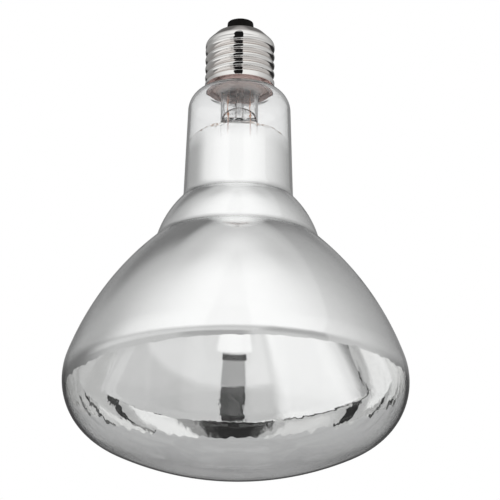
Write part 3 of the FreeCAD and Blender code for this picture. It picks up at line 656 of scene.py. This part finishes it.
class Material(Nodes):
    """A node material built round one Principled shader."""

    def __init__(self, name):
        self.material = bpy.data.materials.new(name)
        self.material.use_nodes = True
        super().__init__(self.material.node_tree)
        self.shader = self.nodes["Principled BSDF"]
        self.place = self.add("ShaderNodeTexCoord").outputs["Object"]

    def set(self, **values):
        """Sets the shader's sockets to numbers, or links them."""
        for key, value in values.items():
            self.feed(value, self.shader.inputs[key.replace("_", " ")])

    def noise(self, per_metre, detail, stretch_xyz=(1, 1, 1)):
        """Noise over the object's own space, with so many features in a metre."""
        spread = self.add("ShaderNodeMapping")
        spread.inputs["Scale"].default_value = stretch_xyz
        self.links.new(self.place, spread.inputs["Vector"])
        noise = self.add("ShaderNodeTexNoise", Scale=per_metre, Detail=detail)
        self.links.new(spread.outputs["Vector"], noise.inputs["Vector"])
        return noise.outputs["Fac"]

    def patches(self, per_metre, detail, between, levels=(0.0, 1.0), stretch_xyz=(1, 1, 1)):
        """Noise drawn out into patches: one level up to a value, another from a second value."""
        return self.ramp(self.noise(per_metre, detail, stretch_xyz), *between, *levels)

    def mottled(self, colours, per_metre, detail):
        """Two colours blended by noise."""
        return self.blend(self.noise(per_metre, detail), *colours)

    def axes(self):
        """The place along x, y and z, in metres."""
        split = self.add("ShaderNodeSeparateXYZ")
        self.links.new(self.place, split.inputs[0])
        return split.outputs

    def radius(self):
        """Distance from the axis, in metres."""
        x, y, _ = self.axes()
        squares = self.math("ADD", self.math("MULTIPLY", x, x), self.math("MULTIPLY", y, y))
        return self.math("SQRT", squares)

    def blend(self, share, colour_a, colour_b):
        """Colour between two, by share; each is a colour or a socket."""
        node = self.add("ShaderNodeMix", data_type="RGBA")
        for index, colour in ((6, colour_a), (7, colour_b)):
            if isinstance(colour, tuple):
                node.inputs[index].default_value = (*colour, 1.0)
            else:
                self.links.new(colour, node.inputs[index])
        self.links.new(share, node.inputs[0])
        return node.outputs[2]

    def bump(self, height, depth_mm):
        """Bump of the given depth on the shader's normal."""
        node = self.add("ShaderNodeBump", Strength=1.0, Distance=depth_mm * MM)
        self.links.new(height, node.inputs["Height"])
        self.links.new(node.outputs["Normal"], self.shader.inputs["Normal"])


def blown_glass():
    """Clear glass with the slow waviness of a blown bulb."""
    m = Material("blown_glass")
    m.set(Transmission_Weight=1.0, IOR=GLASS_IOR, Roughness=0.0)
    m.set(Base_Color=m.mottled(GLASS_TINTS, per_metre=40.0, detail=2.0))
    m.bump(m.noise(per_metre=60.0, detail=1.5, stretch_xyz=(1, 1, 3)), depth_mm=0.02)
    body = m.add("ShaderNodeVolumeAbsorption", Density=GLASS_DENSITY)
    body.inputs["Color"].default_value = (*GLASS_BODY_COLOUR, 1.0)
    m.links.new(body.outputs["Volume"], m.nodes["Material Output"].inputs["Volume"])
    return m.material


def stem_glass():
    """Clear worked glass, stained brown and dull where it is sealed into the neck and cemented."""
    m = Material("worked_stem_glass")
    height = m.axes()[2]
    stain = m.ramp(height, (RIM_Z - STAIN_BELOW_RIM) * MM, (RIM_Z + STAIN_ABOVE_RIM) * MM)
    m.set(IOR=GLASS_IOR)
    brown = m.mottled(STAIN_TINTS, per_metre=300.0, detail=4.0)
    m.set(Base_Color=m.blend(stain, STEM_COLOUR, brown))
    m.set(Transmission_Weight=m.span(stain, 0.0, 1.0, 1.0, STAIN_TRANSMISSION))
    m.set(Roughness=m.span(stain, 0.0, 1.0, 0.0, STAIN_ROUGHNESS))
    m.bump(m.noise(per_metre=240.0, detail=2.0, stretch_xyz=(1, 1, 0.5)), depth_mm=0.5)
    return m.material


def film_material():
    """Aluminium film: bright both sides, thinning out behind a whitish line of painted highlight,
    flecked with painted glints, along its upper edge, and a little uneven low at the back."""
    m = Material("aluminium_film")
    _, y, z = m.axes()
    tilt = math.tan(math.radians(FILM_TOP_TILT_DEG))
    level = m.math("ADD", z, m.math("MULTIPLY", y, tilt))
    reach = FILM_LINE_RAGGED * MM
    wavy = m.span(m.noise(per_metre=260.0, detail=3.0), 0.3, 0.7, -reach, reach)
    ragged = m.math("ADD", level, wavy)
    cover = m.span(ragged, (FILM_TOP_Z - FILM_FADE) * MM, FILM_TOP_Z * MM, 1.0, FILM_EDGE_COVER)
    line = m.ramp(ragged, (FILM_TOP_Z - FILM_LINE) * MM, FILM_TOP_Z * MM)
    film = m.mottled(FILM_TINTS, per_metre=60.0, detail=4.0)
    # The edge line's whitish colour, flecked with brown by noise, is a painted highlight with
    # painted glints
    highlight_specks = m.blend(m.patches(per_metre=700.0, detail=3.0, between=(0.4, 0.65)), *FILM_HIGHLIGHT_LINE_TINTS)
    m.set(Metallic=1.0, Alpha=m.math("MAXIMUM", cover, line))
    m.set(Base_Color=m.blend(line, film, highlight_specks))
    m.set(Roughness=m.span(line, 0.0, 1.0, FILM_ROUGHNESS, FILM_LINE_ROUGHNESS))
    low_down = m.ramp(z, FILM_FACE_Z * MM, FILM_UNEVEN_TOP_Z * MM, 1.0, 0.0)
    behind = m.ramp(y, -BULB_RADIUS * MM / 2, 0.0)
    uneven = m.math("MULTIPLY", low_down, behind)
    sags = m.math("MULTIPLY", uneven, m.noise(per_metre=110.0, detail=3.0))
    grain = m.math("MULTIPLY", line, m.noise(per_metre=900.0, detail=3.0))
    m.bump(m.math("ADD", sags, grain), depth_mm=0.2)
    return m.material


def plated_material():
    """Bright nickel plating, rougher down in the roots of the thread, with painted shade there:
    darker and browner.
    """
    m = Material("nickel_plating")
    crest = m.ramp(m.radius(), ROOT_RADIUS * MM, CREST_RADIUS * MM)
    bright = m.mottled(PLATING_TINTS, per_metre=250.0, detail=4.0)
    # Painted shade: the colour darkens and browns from the crests down into the roots of the
    # thread
    m.set(Metallic=1.0, Base_Color=m.blend(crest, PLATING_ROOT_SHADE_COLOUR, bright))
    m.set(Roughness=m.ramp(crest, 0.0, 0.7, PLATING_ROOT_ROUGHNESS, PLATING_CREST_ROUGHNESS))
    return m.material


def shell_inside_material():
    """Brown lacquered inside of the shell."""
    m = Material("lacquered_inside")
    m.set(Metallic=0.5, Base_Color=m.mottled(LACQUER_TINTS, per_metre=700.0, detail=4.0))
    m.set(Roughness=m.patches(per_metre=900.0, detail=3.0, between=(0.3, 0.7), levels=(0.3, 0.5)))
    return m.material


def cement_material():
    """Baked red-brown cement, mottled, with burnt patches."""
    m = Material("basing_cement")
    burnt = m.patches(per_metre=180.0, detail=3.0, between=(0.52, 0.68), levels=(0.0, 0.8))
    mottled = m.mottled(CEMENT_TINTS, per_metre=900.0, detail=5.0)
    m.set(Base_Color=m.blend(burnt, mottled, CEMENT_BURNT_COLOUR))
    m.set(Roughness=m.patches(per_metre=1500.0, detail=3.0, between=(0.3, 0.7),
                              levels=(0.75, 0.95)))
    m.bump(m.noise(per_metre=1400.0, detail=5.0), depth_mm=0.15)
    return m.material


def black_glass_material():
    """Black insulating glass with a dull pressed surface."""
    m = Material("black_insulator_glass")
    m.set(Specular_IOR_Level=BLACK_GLASS_SPECULAR)
    m.set(Base_Color=m.mottled(BLACK_GLASS_TINTS, per_metre=500.0, detail=3.0))
    m.set(Roughness=m.patches(per_metre=700.0, detail=4.0, between=(0.3, 0.8), levels=(0.5, 0.75)))
    m.bump(m.noise(per_metre=350.0, detail=2.0), depth_mm=0.1)
    return m.material


def wire_material(name, dark, light, rough):
    """Drawn wire: metal with fine streaks and patches of oxide."""
    m = Material(name)
    along = (1, 1, 0.2)
    spread = (rough * (1 - WIRE_ROUGHNESS_SPREAD), rough * (1 + WIRE_ROUGHNESS_SPREAD))
    m.set(Metallic=1.0, Base_Color=m.mottled((dark, light), per_metre=1200.0, detail=4.0))
    m.set(Roughness=m.patches(per_metre=2500.0, detail=3.0, between=(0.3, 0.7), levels=spread,
                              stretch_xyz=along))
    m.bump(m.noise(per_metre=4000.0, detail=2.0, stretch_xyz=along), depth_mm=0.01)
    return m.material


def dress():
    """Builds the detailed pieces and gives every piece and node its material."""
    looks = {name: wire_material(name, *look) for name, look in WIRES.items()}
    looks.update({
        "blown_glass": blown_glass(),
        "worked_stem_glass": stem_glass(),
        "aluminium_film": film_material(),
        "nickel_plating": plated_material(),
        "lacquered_inside": shell_inside_material(),
        "basing_cement": cement_material(),
        "black_insulator_glass": black_glass_material(),
    })
    for build, *names in ((glass_bulb, "blown_glass", "basing_cement"),
                          (screw_shell, "nickel_plating", "lacquered_inside"),
                          (mirror_film, "aluminium_film"),
                          (filament_coil, "tungsten_coil")):
        piece = build()
        for name in names:
            piece.data.materials.append(looks[name])
    for node, name in NODE_FINISHES.items():
        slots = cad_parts[node].data.materials
        for index in range(len(slots)):
            slots[index] = looks[name]
        if len(slots) == 0:
            slots.append(looks[name])


class Sky(Nodes):
    """Studio laid out on the world by direction: soft-edged cards laid one over another."""

    def __init__(self, level):
        world = bpy.data.worlds.new("studio")
        bpy.context.scene.world = world
        world.use_nodes = True
        super().__init__(world.node_tree)
        self.nodes.clear()
        self.direction = self.add("ShaderNodeTexCoord").outputs["Generated"]
        rise = self.math("ARCSINE", self.along((0, 0, 1)))
        self.height = self.math("MULTIPLY", rise, math.degrees(1))
        self.level = level
        self.azimuths = {}

    def along(self, axis):
        """How far a direction points along an axis, from -1 to 1."""
        dot = self.add("ShaderNodeVectorMath", operation="DOT_PRODUCT")
        dot.inputs[1].default_value = axis
        self.links.new(self.direction, dot.inputs[0])
        return dot.outputs["Value"]

    def azimuth(self, centre):
        """Degrees round from a centre; 0 is towards the viewer and + to the viewer's right."""
        if centre not in self.azimuths:
            turn = math.radians(centre)
            side = self.along((math.cos(turn), math.sin(turn), 0))
            ahead = self.along((math.sin(turn), -math.cos(turn), 0))
            radians = self.math("ARCTAN2", side, ahead)
            self.azimuths[centre] = self.math("MULTIPLY", radians, math.degrees(1))
        return self.azimuths[centre]

    def step(self, value, edge, soft, rising):
        """Smooth step across an edge, from half of soft before it to half of soft after it."""
        start = 0.0 if rising else 1.0
        return self.ramp(value, edge - soft / 2, edge + soft / 2, start, 1.0 - start)

    def over(self, mask, level, under=None):
        """A level laid over another by a mask; under is the level so far unless it is given."""
        node = self.add("ShaderNodeMix", data_type="FLOAT")
        self.feed(mask, node.inputs[0])
        self.feed(self.level if under is None else under, node.inputs[2])
        self.feed(level, node.inputs[3])
        return node.outputs[0]

    def card(self, level, left, right, low, high, soft):
        """Card of one level between two azimuths and two heights, in degrees."""
        centre = (left + right) / 2
        turn = self.azimuth(centre)
        edges = ((turn, left - centre, True), (turn, right - centre, False),
                 (self.height, low, True), (self.height, high, False))
        mask = None
        for (value, edge, rising), softness in zip(edges, soft):
            if softness is None:
                continue
            part = self.step(value, edge, softness, rising)
            mask = part if mask is None else self.math("MULTIPLY", mask, part)
        self.level = self.over(mask, level)

    def at_least(self, depth, count):
        """Whether a ray has had so many bounces of a kind, or more."""
        return self.math("GREATER_THAN", depth, count - 0.5)

    def at_most(self, depth, count):
        """Whether a ray has had so many bounces of a kind, or fewer."""
        return self.math("LESS_THAN", depth, count + 0.5)

    def finish(self, reflected, outside):
        """The level so far is seen through glass. The mirror film and the outermost surfaces
        reflect their own, the floor is lit by its own, and one glass wall seen edge on has its
        own. White is behind."""
        path = self.add("ShaderNodeLightPath").outputs
        through = path["Transmission Depth"]
        glossy = self.at_least(path["Glossy Depth"], 1)
        outermost = self.math("MULTIPLY", glossy, self.at_most(through, 0))
        one_wall = self.math("MULTIPLY", self.at_most(through, 2), self.at_least(through, 1))
        self.level = self.over(glossy, reflected)
        self.level = self.over(outermost, outside)
        self.level = self.over(self.at_least(path["Diffuse Depth"], 1), FLOOR_LIGHT)
        self.level = self.over(one_wall, self.ramp(self.height, *WALL_FADE))
        self.level = self.over(path["Is Camera Ray"], BACKDROP_LEVEL)
        background = self.add("ShaderNodeBackground")
        self.links.new(self.level, background.inputs["Color"])
        out = self.add("ShaderNodeOutputWorld")
        self.links.new(background.outputs[0], out.inputs["Surface"])


def studio():
    """White boxes in front and overhead, fading round to a grey back, with a dark gap for the
    camera and a dark ground behind."""
    sky = Sky(BASE_LEVEL)
    around = sky.azimuth(0)
    upper = sky.math("MINIMUM", sky.ramp(around, *LEFT_FADE), sky.ramp(around, *RIGHT_FADE))
    beyond_box = sky.step(sky.along(BOX_EDGE_AXIS), BOX_EDGE, BOX_EDGE_SOFT, True)
    upper = sky.over(beyond_box, sky.math("MULTIPLY", upper, BEYOND_BOX_SHARE), upper)
    sky.level = sky.over(sky.step(sky.height, HORIZON, HORIZON_SOFT, True), upper)
    for card in MIRRORED_CARDS:
        sky.card(*card)
    reflected = sky.level
    sky.level = sky.math("MULTIPLY", reflected, OUTSIDE_SHARE)
    for card in OUTSIDE_CARDS:
        sky.card(*card)
    outside = sky.level
    sky.level = sky.ramp(sky.height, *SEEN_THROUGH_FADE)
    for card in SEEN_THROUGH_CARDS:
        sky.card(*card)
    sky.finish(reflected, outside)


def floor():
    """Pale floor well below the lamp, lit by the studio and left out of the mirror."""
    half = FLOOR_SIZE / 2
    mesh = bpy.data.meshes.new("floor")
    mesh.from_pydata([(-half, -half, FLOOR_Z), (half, -half, FLOOR_Z),
                      (half, half, FLOOR_Z), (-half, half, FLOOR_Z)], [], [(0, 1, 2, 3)])
    ground = bpy.data.objects.new("floor", mesh)
    bpy.context.scene.collection.objects.link(ground)
    ground.visible_glossy = False
    ground.visible_transmission = False
    m = Material("pale_floor")
    m.set(Base_Color=m.mottled(FLOOR_TINTS, per_metre=3.0, detail=3.0), Roughness=FLOOR_ROUGHNESS)
    mesh.materials.append(m.material)


def camera():
    """Camera below the lamp looking up, as in the photograph."""
    rise = math.radians(CAMERA_BELOW_DEG)
    ahead = Vector((0, math.cos(rise), math.sin(rise)))
    aim = Vector((CAMERA_AIM_RIGHT_MM, 0, CAMERA_AIM_Z_MM)) * MM
    place = Vector((0, 0, CAMERA_AIM_Z_MM)) * MM - ahead * CAMERA_DISTANCE_MM * MM
    data = bpy.data.cameras.new("camera")
    data.sensor_width = SENSOR_MM
    data.lens = FOCAL_PX / FRAME_PX * SENSOR_MM
    data.clip_start = CAMERA_CLIP_START
    eye = bpy.data.objects.new("camera", data)
    turn = (aim - place).to_track_quat("-Z", "Y").to_matrix()
    roll = Matrix.Rotation(math.radians(CAMERA_ROLL_DEG), 3, "Z")
    eye.matrix_world = Matrix.Translation(place) @ (turn @ roll).to_4x4()
    bpy.context.scene.collection.objects.link(eye)
    bpy.context.scene.camera = eye


dress()
studio()
floor()
camera()
scene = bpy.context.scene
scene.view_settings.view_transform = "Standard"
scene.cycles.max_bounces = 24
scene.cycles.glossy_bounces = 12
scene.cycles.transmission_bounces = 20
scene.cycles.transparent_max_bounces = 16
